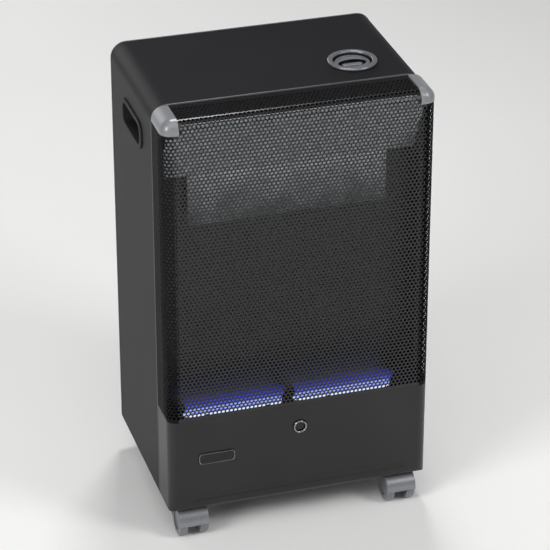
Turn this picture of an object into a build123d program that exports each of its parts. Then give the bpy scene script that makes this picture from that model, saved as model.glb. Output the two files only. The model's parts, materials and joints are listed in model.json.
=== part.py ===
from build123d import *
import os

# Portable gas cabinet heater on four twin-wheel castors.
# Frame: +X to the right seen from the front, the front faces -Y, +Z up.
# The origin is on the floor, in the middle of the overall width and depth. Millimetres.
# Left and right are as seen by someone who stands in front of the heater.

os.makedirs("parts", exist_ok=True)

# ---- overall sizes ----
cabinet_width = 430.0
cabinet_height = 682.0        # cabinet alone, without its castors
case_depth = 252.0            # arched case, front edge to back edge
pan_depth = 65.0              # guard and lower panel stand this far in front of the case
cover_bulge = 36.0            # the rear cover swells this far behind the case
castor_height = 58.0          # floor to underside of the cabinet

# ---- sheet metal and fits ----
sheet = 1.0
guard_sheet = 1.0
seat_gap = 0.3                # left between pieces that bear on each other
running_gap = 0.05            # radial clearance of a shaft in its hole
case_corner = 25.0            # outer radius of the case's two top corners
case_flange = 9.0             # turned-in edge of the case, front and back
pan_corner = 16.0             # plan radius of the guard's and lower panel's corners

# ---- lower front panel and base tray ----
panel_height = 165.0
panel_roll = 8.0              # radius of the front foot edge, and of the tray's foot edges
panel_return = 14.0           # width of the bottom return flange
groove_height = 20.0          # pressed groove above the cabinet's underside
groove_length = 346.0
groove_radius = 8.0
groove_depth = 1.5
joint_flange = 10.0           # flanges that meet between panel and guard
tray_wall = 24.0              # height of the tray's upturned edge
air_inlet_length = 280.0      # opening that lets air in under the burners
air_inlet_width = 36.0
air_inlet_corner = 6.0
seat_radius = 90.0            # pressed-up round seat for the gas cylinder
seat_rise = 2.0

# ---- perforated guard ----
guard_bend = 18.0             # outer radius of the bend from front to top
guard_drop = 1.0              # guard top lies this far below the case top
hole_pitch = 27.0             # coarse stand-in for the fine perforation
hole_radius = 9.0
hole_columns = 14
hole_rows = 10                # rows of each of the two staggered grids
guard_border = 13.0           # plain strip round the perforation

# ---- corner caps ----
cap_width = 25.0
cap_height = 21.5
cap_wall = 2.5
cap_proud = 1.0
cap_side_radius = 19.0        # rounding from the side to the top
cap_front_radius = 18.0       # rounding of the front edges
cap_rear_radius = 3.5

# ---- firebox ----
fire_inset = 11.0             # inner face of each side wall in from the cabinet's side
fire_front = 40.0             # front edge of the side walls, behind the front face
fire_back = 88.0              # front face of the back wall, behind the front face
fire_headroom = 12.0          # walls end this far below the case top
shelf_height = 105.0          # burner shelf above the cabinet's underside
shelf_lip = 12.0
partition_depth = 100.0       # heat shield behind the firebox, behind the front face

# ---- heat deflector: slope, then upright apron, then small lip ----
deflector_front = 12.0        # upper edge behind the front face
deflector_drop = 11.0         # upper edge below the case top
apron_depth = 70.0            # apron behind the front face
apron_top = 558.0             # crease above the cabinet's underside
apron_bottom = 480.0
apron_inset = 55.0            # each end in from the cabinet's side
apron_lip = 8.0

# ---- burners ----
burner_length = 165.0
burner_width = 36.0
burner_height = 32.0
burner_offset = 91.0          # centre of each burner from the middle
burner_depth = 60.0           # centre line behind the front face
burner_edge = 4.0
burner_wall = 1.0
port_radius = 2.0
port_pitch = 8.0
port_count = 19
port_row_pitch = 12.0
mixing_radius = 11.0
mixing_wall = 1.0
mixing_length = 42.0
mouth_radius = 15.0
mouth_length = 8.0

# ---- gas line ----
manifold_height = 52.0        # centre line above the cabinet's underside
manifold_radius = 6.0
manifold_bore = 4.0
manifold_overhang = 14.0
injector_radius = 4.0
injector_height = 12.0
injector_orifice = 0.6
injector_shank = 2.5
supply_radius = 4.0
supply_bore = 3.0
supply_bend = 20.0
pilot_pipe_radius = 2.0
pilot_pipe_bore = 1.2
pilot_pipe_bend = 12.0
pilot_pipe_height = 34.0      # horizontal run above the cabinet's underside
pipe_row_depth = 116.0        # both pipes leave the valve here, behind the front face

# ---- pilot ----
pilot_depth = 30.0            # pilot burner behind the front face
pilot_bracket_width = 56.0
pilot_bracket_depth = 18.0
pilot_bracket_height = 14.0
pilot_radius = 5.0
pilot_height = 26.0
pilot_edge = 1.6
pilot_flame_radius = 2.5      # opening in its back that lights the burners
probe_radius = 2.0
probe_height = 34.0
probe_collar_radius = 4.0
probe_collar_height = 8.5
probe_tip_edge = 1.0
probe_offset = 18.0
spark_radius = 3.0
spark_height = 24.0
spark_wire_radius = 0.9
spark_wire_height = 9.0

# ---- control dial on the top ----
dial_inset = 90.5             # in from the cabinet's right side
dial_depth = 135.0            # behind the front face
dish_radius = 38.7
dish_bowl_radius = 33.4
dish_wall = 2.5
dish_recess = 14.5
dish_flange = 1.5
dish_hole_radius = 8.0
ring_height = 2.9
ring_width = 8.0
ring_edge = 2.0
knob_radius = 28.5
knob_height = 10.0
knob_push = 4.0               # the knob is pressed down this far to open the pilot
knob_clearance = 0.5
knob_edge = 2.5
knob_face_radius = 24.5
knob_face_drop = 1.5
knob_well_length = 45.0
knob_well_width = 27.0
knob_well_depth = 4.0
knob_bar_length = 33.0
knob_bar_width = 9.0
knob_bar_drop = 1.5           # the bar lies this far below the knob's face
knob_bar_edge = 1.5
knob_boss_radius = 7.0
knob_boss_length = 6.5
spindle_radius = 4.0
spindle_reach = 6.5           # spindle ends this far below the case top
spindle_depth = 20.0          # and reaches this far into the valve

# ---- gas valve ----
valve_width = 40.0
valve_length = 56.0
valve_body_height = 50.0
valve_edge = 4.0
valve_drop = 30.0             # bracket plate below the case top
valve_screw_pitch_x = 27.0
valve_screw_pitch_y = 41.0
supply_offset = 8.0           # supply pipe to the right of the spindle
pilot_pipe_offset = 10.0      # pilot pipe to the left of the spindle
bracket_sheet = 1.5
bracket_half_span = 46.0
bracket_length = 52.0
bracket_foot = 12.0
plunger_radius = 3.0
plunger_length = 20.0
plunger_chamfer = 0.75
port_socket_depth = 8.0
nozzle_radius = 4.5
nozzle_bore = 2.5
nozzle_length = 26.0
nozzle_collar_radius = 8.0
nozzle_collar_length = 7.0
nozzle_height = 22.0          # above the valve's underside
igniter_width = 14.0
igniter_length = 24.0
igniter_height = 32.0
igniter_edge = 2.0

# ---- small fittings on the outside ----
port_height = 125.0           # viewing port above the cabinet's underside
bezel_radius = 12.0
bezel_proud = 2.0
bezel_edge = 1.0
bezel_sleeve_radius = 8.7
bezel_sleeve_length = 8.0
bezel_bore = 7.0
lens_thickness = 1.5
badge_inset = 77.5            # middle of the plate in from the cabinet's left side
badge_height = 93.0
badge_length = 60.0
badge_width = 20.0
badge_corner = 6.5
badge_thickness = 1.2
badge_edge = 0.6

# ---- hand-holds in the sides; each outline's corner radius is a share of its width ----
grip_rounding = 0.4
grip_length = 118.0
grip_width = 48.0
grip_rim = 2.5
grip_rim_edge = 1.0
grip_sleeve_length = 108.0
grip_sleeve_width = 40.0
grip_sleeve_depth = 16.0
grip_slot_length = 102.0
grip_slot_width = 34.0
grip_height = 603.0           # above the cabinet's underside
grip_depth = 118.0            # behind the case's front edge

# ---- back of the cabinet ----
cover_foot = 4.0              # cover starts this far above the cabinet's underside
upper_panel_height = 104.0    # cover ends this far below the case top
cover_side_gap = 2.0
cover_sheet = 1.0
cover_margin = 30.0
cover_draft = 26.6            # lean of the swelling's sides, degrees
cover_corner = 42.0
vent_length = 60.0
vent_width = 6.0
vent_pitch = 14.0
vent_column_pitch = 72.0
upper_vent_columns = 3
upper_vent_rows = 4
hose_hole_radius = 14.0       # behind the nozzle, for pushing its hose on from the back
cover_vent_columns = 4
cover_vent_rows = 5
cover_vent_inset = 115.0      # middle of each vent field from the cover's top or foot
tongue_width = 24.0
tongue_reach = 12.0
tongue_offset = 110.0
panel_overlap = 10.0          # upper rear panel reaches this far below the cover's top

# ---- castors ----
wheel_radius = 25.0
wheel_width = 14.0
wheel_gap = 20.0              # between the two wheels of a castor
wheel_edge = 3.0
wheel_dish_radius = 16.0
wheel_dish_depth = 2.0
axle_radius = 3.0
castor_trail = 20.0           # wheel axle is this far from the swivel axis
castor_inset_x = 40.0         # swivel axis of a front castor in from the cabinet's side
rear_castor_inset_x = 49.0    # and of a rear one
castor_inset_y = 48.0         # each in from the cabinet's front or from the case's back
hood_radius = 27.5
hood_wall = 1.6
web_clearance = 0.5           # web to each wheel
web_bottom = 14.0             # the web between the wheels ends this far above the floor
web_front = 7.0               # and this far in front of the axle
hood_open_height = 20.0       # hood covers the wheels above this level
hood_boss_radius = 10.0
hood_boss_height = 9.6
stem_radius = 4.0
stem_reach = 19.0             # above the top of the hood's boss
socket_wall = 3.0
socket_flange_radius = 10.0
socket_flange = 1.2
socket_height = 20.0

# ---- screws ----
screw_radius = 1.9
screw_head_radius = 3.6
screw_head_height = 2.0
screw_length = 6.0
screw_clearance = 0.3
joint_screw_pitch = 100.0     # screws between the panel and the guard
joint_screw_count = 4
joint_screw_depth = 6.0       # behind the front face
rear_screw_rise = 25.0        # lower rear screws above the cover's top
rear_screw_drop = 40.0        # upper rear screws below the case top

# ---- places worked out from the sizes above ----
half_width = cabinet_width / 2
front_y = (bezel_proud - pan_depth - case_depth - seat_gap - cover_bulge) / 2
case_front = front_y + pan_depth
case_back = case_front + case_depth
base_z = castor_height
top_z = base_z + cabinet_height
inner_inset = sheet + seat_gap            # inset of what fits inside the case or panel
inner_half = half_width - inner_inset
panel_top = base_z + panel_height
guard_bottom = panel_top + seat_gap
guard_top = top_z - guard_drop
cap_bottom = top_z - cap_height
fire_half_width = half_width - fire_inset
tray_bottom = base_z + inner_inset
tray_floor = tray_bottom + sheet
tray_rim = tray_bottom + tray_wall
tray_front = front_y + inner_inset + groove_depth
tray_back = case_back - inner_inset
shelf_z = base_z + shelf_height
shelf_top = shelf_z + sheet
partition_y = front_y + partition_depth
fire_back_y = front_y + fire_back
fire_top = top_z - fire_headroom
burner_y = front_y + burner_depth
burner_bottom = shelf_top + seat_gap
manifold_z = base_z + manifold_height
dial_offset = half_width - dial_inset     # right of the middle
dial_y = front_y + dial_depth
valve_top = top_z - valve_drop - seat_gap
valve_bottom = valve_top - valve_body_height
valve_back = dial_y + valve_length / 2
pipe_y = front_y + pipe_row_depth
supply_x = dial_offset + supply_offset
pilot_pipe_x = dial_offset - pilot_pipe_offset
pilot_y = front_y + pilot_depth
grip_y = case_front + grip_depth
grip_z = base_z + grip_height
cover_bottom = base_z + cover_foot
cover_top = top_z - upper_panel_height
cover_y = case_back + seat_gap
upper_panel_bottom = cover_top - panel_overlap
screw_hole_radius = screw_radius + screw_clearance
sides = ((-1, "left"), (1, "right"))


def save(piece, name):
    """Label a finished piece and write it as parts/name.step."""
    piece.part.label = name
    export_step(piece.part, f"parts/{name}.step")


def upright(y):
    """Plane square to the front at depth y; its own x is +X, its own y is +Z."""
    return Plane.XZ.offset(-y)


def arch(inset, mode=Mode.ADD):
    """Front view of the case: square at the foot, round at the top corners, moved in by inset."""
    x = half_width - inset
    top = top_z - inset
    with BuildLine() as outline:
        FilletPolyline((-x, base_z), (-x, top), (x, top), (x, base_z),
                       radius=max(case_corner - inset, sheet))
        Line((-x, base_z), (x, base_z))
    make_face(outline.edges(), mode=mode)


def pan_plan(inset, back, mode=Mode.ADD):
    """Plan of the front pan: square at the back, round front corners, moved in by inset."""
    x = half_width - inset
    front = front_y + inset
    with BuildLine() as outline:
        FilletPolyline((-x, back), (-x, front), (x, front), (x, back),
                       radius=max(pan_corner - inset, sheet))
        Line((-x, back), (x, back))
    make_face(outline.edges(), mode=mode)


def block(x, y, z, mode=Mode.ADD):
    """Box between the pairs of limits x, y and z."""
    with Locations(((x[0] + x[1]) / 2, (y[0] + y[1]) / 2, (z[0] + z[1]) / 2)):
        Box(x[1] - x[0], y[1] - y[0], z[1] - z[0], mode=mode)


def screw_places():
    """Planes at the screw heads' undersides, each with its z axis out of the head."""
    flange_x = half_width - case_flange / 2
    rear = [Plane((side * flange_x, case_back, z), x_dir=(1, 0, 0), z_dir=(0, 1, 0))
            for side in (-1, 1) for z in (cover_top + rear_screw_rise, top_z - rear_screw_drop)]
    joint = [Plane(((step - (joint_screw_count - 1) / 2) * joint_screw_pitch,
                    front_y + joint_screw_depth, guard_bottom + guard_sheet),
                   x_dir=(1, 0, 0), z_dir=(0, 0, 1)) for step in range(joint_screw_count)]
    return rear + joint


fixing_planes = screw_places()


def drill_fixings(depth):
    """Clearance holes for every fixing screw that passes through the active piece."""
    for plane in fixing_planes:
        with Locations(plane.location):
            Cylinder(screw_hole_radius, 2 * depth, mode=Mode.SUBTRACT)


# ---- case: one sheet bent over both sides and the top, edges turned in ----
with BuildPart() as case_shell:
    with BuildSketch(upright(case_front)):
        arch(0)
        arch(sheet, Mode.SUBTRACT)
    extrude(amount=-case_depth)
    for flange_y, foot in ((case_front, shelf_top + seat_gap),
                           (case_back - sheet, tray_rim + seat_gap)):
        with BuildSketch(upright(flange_y)):
            arch(0)
            arch(case_flange, Mode.SUBTRACT)
            with Locations((0, base_z)):
                Rectangle(2 * (half_width - sheet), 2 * (foot - base_z), mode=Mode.SUBTRACT)
        extrude(amount=-sheet)
    with BuildSketch(Plane.XY.offset(top_z)):
        with Locations((dial_offset, dial_y)):
            Circle(dish_bowl_radius + seat_gap)
    extrude(amount=-sheet, mode=Mode.SUBTRACT)
    with BuildSketch(Plane.YZ):
        with Locations((grip_y, grip_z)):
            RectangleRounded(grip_sleeve_length + 2 * seat_gap, grip_sleeve_width + 2 * seat_gap,
                             grip_sleeve_width * grip_rounding + seat_gap)
    extrude(amount=cabinet_width, both=True, mode=Mode.SUBTRACT)
    drill_fixings(sheet + seat_gap)
save(case_shell, "case_shell")


# ---- lower front panel: pressed pan with a groove near its rolled foot edge ----
def pan_block(inset, back):
    """Solid pan, moved in by inset: round upright corners and a rolled front foot edge."""
    front = front_y + inset
    low = base_z + inset
    high = panel_top + inset
    with BuildPart() as body:
        with BuildSketch(Plane.XY.offset(low)):
            pan_plan(inset, back)
        extrude(amount=high - low)
        with BuildSketch(Plane.YZ):
            with BuildLine():
                FilletPolyline((back, low), (front, low), (front, high),
                               radius=panel_roll - inset)
                Polyline((front, high), (back, high), (back, low))
            make_face()
        extrude(amount=cabinet_width, both=True, mode=Mode.INTERSECT)
    return body.part


def groove_bar(radius):
    """Round-ended bar that lies in the groove, its middle line in front of the panel."""
    with BuildPart() as bar:
        groove_y = front_y + groove_depth - groove_radius
        with Locations(Location((0, groove_y, base_z + groove_height), (0, 90, 0))):
            Cylinder(radius, groove_length)
            with Locations((0, 0, -groove_length / 2), (0, 0, groove_length / 2)):
                Sphere(radius)
    return bar.part


with BuildPart() as front_panel:
    add(pan_block(0, case_front - seat_gap))
    add(pan_block(sheet, case_front) - groove_bar(groove_radius + sheet), mode=Mode.SUBTRACT)
    add(groove_bar(groove_radius), mode=Mode.SUBTRACT)
    with BuildSketch(Plane.XY.offset(base_z)):
        pan_plan(panel_return, case_front)
    extrude(amount=sheet, mode=Mode.SUBTRACT)
    flange_half = half_width - pan_corner
    block((-flange_half, flange_half), (front_y, front_y + joint_flange),
          (panel_top - sheet, panel_top))
    drill_fixings(guard_sheet + seat_gap + sheet)
    with BuildSketch(upright(front_y)):
        with Locations((0, base_z + port_height)):
            Circle(bezel_sleeve_radius + seat_gap)
    extrude(amount=-sheet, mode=Mode.SUBTRACT)
save(front_panel, "front_panel")


# ---- base tray: the gas cylinder stands on it, the castors plug into it ----
def tray_block(inset, bottom, wall):
    """Rounded block of the tray's plan, moved in by inset, from bottom up by wall."""
    length = tray_back - tray_front - 2 * inset
    with BuildPart() as body:
        with BuildSketch(Plane.XY.offset(bottom)):
            with Locations((0, (tray_back + tray_front) / 2)):
                RectangleRounded(2 * (inner_half - inset), length,
                                 pan_corner - inner_inset - inset)
        extrude(amount=wall)
        fillet(body.edges().group_by(Axis.Z)[0], panel_roll - inner_inset - inset)
    return body.part


castor_places = {
    "front_left": (castor_inset_x - half_width, front_y + castor_inset_y),
    "front_right": (half_width - castor_inset_x, front_y + castor_inset_y),
    "rear_left": (rear_castor_inset_x - half_width, case_back - castor_inset_y),
    "rear_right": (half_width - rear_castor_inset_x, case_back - castor_inset_y),
}
socket_radius = stem_radius + running_gap + socket_wall

with BuildPart() as base_tray:
    add(tray_block(0, tray_bottom, tray_wall))
    add(tray_block(sheet, tray_floor, tray_wall), mode=Mode.SUBTRACT)
    with BuildSketch(Plane.XY.offset(tray_floor)):
        with Locations(*castor_places.values()):
            Circle(socket_radius + seat_gap)
        with Locations((0, burner_y)):
            RectangleRounded(air_inlet_length, air_inlet_width, air_inlet_corner)
    extrude(amount=-sheet, mode=Mode.SUBTRACT)
    bay_y = (partition_y + sheet + case_back) / 2
    with Locations((0, bay_y, tray_floor)):
        Cylinder(seat_radius, seat_rise, align=(Align.CENTER, Align.CENTER, Align.MIN))
    with Locations((0, bay_y, tray_bottom)):
        Cylinder(seat_radius - sheet, seat_rise, mode=Mode.SUBTRACT,
                 align=(Align.CENTER, Align.CENTER, Align.MIN))
save(base_tray, "base_tray")


# ---- guard: one perforated sheet, as its flat front, its bent sides and its folds ----
cap_edge = half_width - cap_width - seat_gap      # top strip ends here, at the caps
hole_row_pitch = hole_pitch * 3 ** 0.5 / 2        # rows of a 60 degree stagger
mesh_top = cap_bottom - seat_gap                  # the corners above this are cut away

with BuildPart() as guard_mesh:
    block((-flange_half, flange_half), (front_y, front_y + guard_sheet),
          (guard_bottom, mesh_top))
    with BuildSketch(upright(front_y)):
        with Locations((0, (guard_bottom + guard_border + mesh_top) / 2)):
            with GridLocations(hole_pitch, 2 * hole_row_pitch, hole_columns, hole_rows):
                Circle(hole_radius)
            with GridLocations(hole_pitch, 2 * hole_row_pitch, hole_columns - 1, hole_rows - 1):
                Circle(hole_radius)
    extrude(amount=-guard_sheet, mode=Mode.SUBTRACT)
save(guard_mesh, "guard_mesh")

with BuildPart() as guard_sides:
    with BuildSketch(Plane.XY.offset(guard_bottom)):
        pan_plan(0, case_front - seat_gap)
        pan_plan(guard_sheet, case_front, Mode.SUBTRACT)
        with Locations((0, front_y)):
            Rectangle(2 * flange_half, pan_depth, mode=Mode.SUBTRACT)
    extrude(amount=mesh_top - guard_bottom)
save(guard_sides, "guard_sides")

with BuildPart() as guard_folds:
    with BuildSketch(Plane.YZ.offset(-cap_edge)):
        with BuildLine():
            fold_y = front_y + guard_sheet / 2
            fold_z = guard_top - guard_sheet / 2
            FilletPolyline((fold_y, mesh_top), (fold_y, fold_z),
                           (case_front - seat_gap, fold_z), radius=guard_bend)
        trace(line_width=guard_sheet)
    extrude(amount=2 * cap_edge)
    block((-flange_half, flange_half), (front_y + guard_sheet, front_y + joint_flange),
          (guard_bottom, guard_bottom + guard_sheet))
    drill_fixings(guard_sheet + seat_gap + sheet)
save(guard_folds, "guard_folds")


# ---- plastic caps over the guard's cut corners ----
def cap_block(inset):
    """Rounded top end of the whole pan, moved in by inset; the caps are its two corners."""
    half = half_width + cap_proud - inset
    front = front_y - cap_proud + inset
    top = top_z + cap_proud - inset
    with BuildPart() as body:
        block((-half, half), (front, case_front - seat_gap + inset), (panel_top, top))
        fillet(body.edges().filter_by(Axis.Y).group_by(Axis.Z)[-1], cap_side_radius - inset)
        fillet(body.edges().group_by(Axis.Y)[0].sort_by(Axis.Z)[1:], cap_front_radius - inset)
        if not inset:
            fillet(body.edges().group_by(Axis.Y)[-1].sort_by(Axis.Z)[1:], cap_rear_radius)
    return body.part


cap_shell = cap_block(0) - cap_block(cap_wall)
for side, tag in sides:
    with BuildPart() as guard_cap:
        block(sorted((side * (half_width - cap_width), side * cabinet_width)),
              (front_y - cap_width, case_front), (cap_bottom, top_z + cap_width))
        add(cap_shell, mode=Mode.INTERSECT)
    save(guard_cap, f"guard_cap_{tag}")


# ---- firebox: back wall, two side walls, shelf and heat shield ----
with BuildPart() as firebox_back:
    wall_half = fire_half_width - seat_gap
    block((-wall_half, wall_half), (fire_back_y, fire_back_y + sheet),
          (shelf_top + seat_gap, fire_top))
    block((-wall_half, wall_half), (fire_back_y - shelf_lip + sheet, fire_back_y + sheet),
          (fire_top - sheet, fire_top))
save(firebox_back, "firebox_back")

for side, tag in sides:
    with BuildPart() as firebox_side:
        inner_x = side * fire_half_width
        outer_x = side * (fire_half_width + sheet)
        side_top = cap_bottom - seat_gap
        block(sorted((inner_x, outer_x)), (front_y + fire_front, fire_back_y + sheet),
              (shelf_top + seat_gap, side_top))
        block(sorted((inner_x, side * inner_half)),
              (front_y + fire_front, front_y + fire_front + sheet),
              (shelf_top + seat_gap, side_top))
    save(firebox_side, f"firebox_side_{tag}")

with BuildPart() as burner_shelf:
    with BuildSketch(Plane.XY.offset(shelf_z)):
        pan_plan(inner_inset, partition_y - seat_gap)
    extrude(amount=sheet)
    block((-wall_half, wall_half), (partition_y - seat_gap - sheet, partition_y - seat_gap),
          (shelf_z - shelf_lip, shelf_z))
    with BuildSketch(Plane.XY.offset(shelf_top)):
        with Locations((-burner_offset, burner_y), (burner_offset, burner_y)):
            Circle(mixing_radius + seat_gap)
        with Locations((0, pilot_y)):
            Circle(pilot_pipe_radius + seat_gap)
    extrude(amount=-sheet, mode=Mode.SUBTRACT)
save(burner_shelf, "burner_shelf")

with BuildPart() as partition_shield:
    with BuildSketch(upright(partition_y)):
        arch(inner_inset)
        foot_height = tray_rim + seat_gap - base_z
        with Locations((0, base_z)):
            Rectangle(cabinet_width, 2 * foot_height, mode=Mode.SUBTRACT)
        foot_bottom = tray_floor + seat_gap
        foot_half = inner_half - panel_roll
        with Locations((0, (foot_bottom + tray_rim + 2 * seat_gap) / 2)):
            Rectangle(2 * foot_half, tray_rim + 2 * seat_gap - foot_bottom)
        with Locations((supply_x, manifold_z)):
            Circle(supply_radius + seat_gap, mode=Mode.SUBTRACT)
        with Locations((pilot_pipe_x, base_z + pilot_pipe_height)):
            Circle(pilot_pipe_radius + seat_gap, mode=Mode.SUBTRACT)
    extrude(amount=-sheet)
save(partition_shield, "partition_shield")


# ---- bright deflector at the head of the firebox ----
slope_top = (front_y + deflector_front, top_z - deflector_drop)
crease = (front_y + apron_depth, base_z + apron_top)
apron_end = (front_y + apron_depth, base_z + apron_bottom)
lip_end = (apron_end[0] - apron_lip, apron_end[1] - apron_lip / 2)

with BuildPart() as heat_deflector:
    for half, points in ((wall_half, (slope_top, crease)),
                         (half_width - apron_inset, (crease, apron_end, lip_end))):
        with BuildSketch(Plane.YZ.offset(-half)):
            with BuildLine():
                Polyline(*points)
            trace(line_width=sheet)
        extrude(amount=2 * half)
save(heat_deflector, "heat_deflector")


# ---- two hollow bar burners with their mixing tubes ----
def burner_block(x, inset):
    """Rounded bar of the burner's outline, moved in by inset."""
    with BuildPart() as body:
        with Locations((x, burner_y, burner_bottom + burner_height / 2)):
            Box(burner_length - 2 * inset, burner_width - 2 * inset, burner_height - 2 * inset)
        upper = body.edges().group_by(Axis.Z)[-1]
        fillet(upper + body.edges().filter_by(Axis.Z), burner_edge - inset)
    return body.part


for side, tag in sides:
    burner_x = side * burner_offset
    with BuildPart() as burner:
        add(burner_block(burner_x, 0))
        add(burner_block(burner_x, burner_wall), mode=Mode.SUBTRACT)
        with BuildSketch(Plane.XY.offset(burner_bottom + burner_height)):
            with Locations((burner_x, burner_y)):
                with GridLocations(port_pitch, port_row_pitch, port_count, 2):
                    Circle(port_radius)
        extrude(amount=-burner_wall, mode=Mode.SUBTRACT)
        with BuildSketch(Plane.XY.offset(burner_bottom)):
            with Locations((burner_x, burner_y)):
                Circle(mixing_radius + running_gap)
        extrude(amount=burner_wall, mode=Mode.SUBTRACT)
    save(burner, f"burner_{tag}")

    mixing_top = burner_bottom + 2 * burner_wall
    mixing_bottom = mixing_top - mixing_length
    with BuildPart() as mixing_tube:
        with BuildSketch(Plane.XZ.offset(-burner_y)):
            with BuildLine():
                Polyline((burner_x + mixing_radius - mixing_wall, mixing_top),
                         (burner_x + mixing_radius, mixing_top),
                         (burner_x + mixing_radius, mixing_bottom + mouth_length),
                         (burner_x + mouth_radius, mixing_bottom),
                         (burner_x + mouth_radius - mixing_wall, mixing_bottom),
                         (burner_x + mixing_radius - mixing_wall, mixing_bottom + mouth_length),
                         close=True)
            make_face()
        revolve(axis=Axis((burner_x, burner_y, 0), (0, 0, 1)))
    save(mixing_tube, f"mixing_tube_{tag}")


# ---- gas line: manifold with injectors, supply pipe and pilot pipe ----
manifold_left = -burner_offset - manifold_overhang
manifold_right = supply_x + manifold_overhang
manifold_length = manifold_right - manifold_left
manifold_middle = (manifold_left + manifold_right) / 2

with BuildPart() as gas_manifold:
    with Locations(Location((manifold_middle, burner_y, manifold_z), (0, 90, 0))):
        Cylinder(manifold_radius, manifold_length)
        Cylinder(manifold_bore, manifold_length - manifold_radius, mode=Mode.SUBTRACT)
    with Locations((-burner_offset, burner_y, manifold_z), (burner_offset, burner_y, manifold_z)):
        Cylinder(injector_shank + running_gap, manifold_radius, mode=Mode.SUBTRACT,
                 align=(Align.CENTER, Align.CENTER, Align.MIN))
    with Locations(Location((supply_x, burner_y, manifold_z), (-90, 0, 0))):
        Cylinder(supply_bore, manifold_radius, mode=Mode.SUBTRACT,
                 align=(Align.CENTER, Align.CENTER, Align.MIN))
save(gas_manifold, "gas_manifold")

with BuildPart() as injectors:
    with Locations((-burner_offset, burner_y), (burner_offset, burner_y)):
        with Locations((0, 0, manifold_z + manifold_radius + seat_gap)):
            Cylinder(injector_radius, injector_height,
                     align=(Align.CENTER, Align.CENTER, Align.MIN))
        with Locations((0, 0, manifold_z + manifold_bore)):
            Cylinder(injector_shank, manifold_radius,
                     align=(Align.CENTER, Align.CENTER, Align.MIN))
        with Locations((0, 0, manifold_z)):
            Cylinder(injector_orifice, 4 * injector_height, mode=Mode.SUBTRACT)
save(injectors, "injectors")


def bent_pipe(points, bend, outer, bore):
    """Tube swept along straight runs joined by arcs."""
    with BuildPart() as pipe:
        with BuildLine() as route:
            FilletPolyline(*points, radius=bend)
        with BuildSketch(Plane(origin=route.wire() @ 0, z_dir=route.wire() % 0)):
            Circle(outer)
            Circle(bore, mode=Mode.SUBTRACT)
        sweep(path=route.wire())
    return pipe


pipe_start = valve_bottom + port_socket_depth - seat_gap
supply_end = burner_y + manifold_radius + seat_gap
supply_pipe = bent_pipe([(supply_x, pipe_y, pipe_start), (supply_x, pipe_y, manifold_z),
                         (supply_x, supply_end, manifold_z)],
                        supply_bend, supply_radius, supply_bore)
save(supply_pipe, "supply_pipe")

pilot_run_z = base_z + pilot_pipe_height
bracket_top = shelf_top + seat_gap + pilot_bracket_height
pilot_pipe = bent_pipe([(pilot_pipe_x, pipe_y, pipe_start), (pilot_pipe_x, pipe_y, pilot_run_z),
                        (pilot_pipe_x, pilot_y, pilot_run_z), (0, pilot_y, pilot_run_z),
                        (0, pilot_y, bracket_top)],
                       pilot_pipe_bend, pilot_pipe_radius, pilot_pipe_bore)
save(pilot_pipe, "pilot_pipe")


# ---- pilot: bracket, burner, thermocouple tip and spark electrode ----
with BuildPart() as pilot_bracket:
    with Locations((0, pilot_y, (shelf_top + seat_gap + bracket_top) / 2)):
        Box(pilot_bracket_width, pilot_bracket_depth, pilot_bracket_height)
        with Locations((0, 0, -sheet)):
            Box(pilot_bracket_width - 2 * sheet, pilot_bracket_depth, pilot_bracket_height,
                mode=Mode.SUBTRACT)
    with Locations((0, pilot_y, bracket_top)):
        Cylinder(pilot_pipe_radius + seat_gap, 3 * sheet, mode=Mode.SUBTRACT)
save(pilot_bracket, "pilot_bracket")

pilot_seat = bracket_top + seat_gap
with BuildPart() as pilot_burner:
    with Locations((0, pilot_y, pilot_seat)):
        Cylinder(pilot_radius, pilot_height, align=(Align.CENTER, Align.CENTER, Align.MIN))
        Cylinder(pilot_pipe_bore, pilot_height - pilot_radius, mode=Mode.SUBTRACT,
                 align=(Align.CENTER, Align.CENTER, Align.MIN))
    fillet(pilot_burner.edges().group_by(Axis.Z)[-1], pilot_edge)
    with Locations(Location((0, pilot_y, pilot_seat + pilot_height - 2 * pilot_radius),
                            (-90, 0, 0))):
        Cylinder(pilot_flame_radius, 2 * pilot_radius, mode=Mode.SUBTRACT,
                 align=(Align.CENTER, Align.CENTER, Align.MIN))
save(pilot_burner, "pilot_burner")

with BuildPart() as thermocouple:
    with Locations((-probe_offset, pilot_y, pilot_seat)):
        Cylinder(probe_radius, probe_height, align=(Align.CENTER, Align.CENTER, Align.MIN))
        Cylinder(probe_collar_radius, probe_collar_height,
                 align=(Align.CENTER, Align.CENTER, Align.MIN))
    fillet(thermocouple.edges().group_by(Axis.Z)[-1], probe_tip_edge)
save(thermocouple, "thermocouple")

with BuildPart() as spark_electrode:
    with Locations((probe_offset, pilot_y, pilot_seat)):
        Cylinder(spark_radius, spark_height, align=(Align.CENTER, Align.CENTER, Align.MIN))
        Cylinder(spark_wire_radius, spark_height + spark_wire_height,
                 align=(Align.CENTER, Align.CENTER, Align.MIN))
save(spark_electrode, "spark_electrode")


# ---- gas valve under the top, with its bracket, plunger, spindle and nozzle ----
plate_z = top_z - valve_drop                      # underside of the bracket plate
spindle_bottom = valve_top - spindle_depth
plunger_top = spindle_bottom - seat_gap / 2
plunger_bottom = plunger_top - plunger_length

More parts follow.
